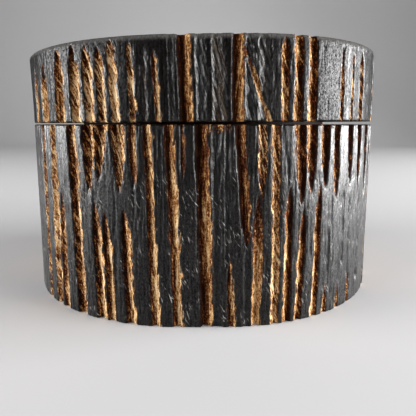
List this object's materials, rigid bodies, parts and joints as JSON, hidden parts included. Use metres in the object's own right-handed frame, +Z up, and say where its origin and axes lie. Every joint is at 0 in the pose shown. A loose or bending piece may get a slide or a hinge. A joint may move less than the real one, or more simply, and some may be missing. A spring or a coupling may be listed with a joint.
{
  "type": "trinket box",
  "caption": "Thick-walled oval wooden box with gouge-fluted dark walls and a lift-off lid located by a ring in the mouth",
  "frame": {"origin": "middle of the foot, on the surface that the box stands on", "axes": "+X to the right along the plan's longer side, +Y to the back, +Z up"},
  "size_m": [0.1244, 0.112, 0.0798],
  "materials": {
    "stained_wood": "black-stained satin skin, cut through to brown wood in the gouge strokes",
    "plain_wood": "bare sanded wood"
  },
  "bodies": {
    "body": {"box_body": "stained_wood"},
    "lid": {"lid": "stained_wood", "lid_ring": "plain_wood"}
  },
  "joints": [
    {"name": "lid_lift", "type": "slide", "parent": "body", "child": "lid", "axis": [0, 0, 1], "range_m": [0, 0.09]}
  ]
}
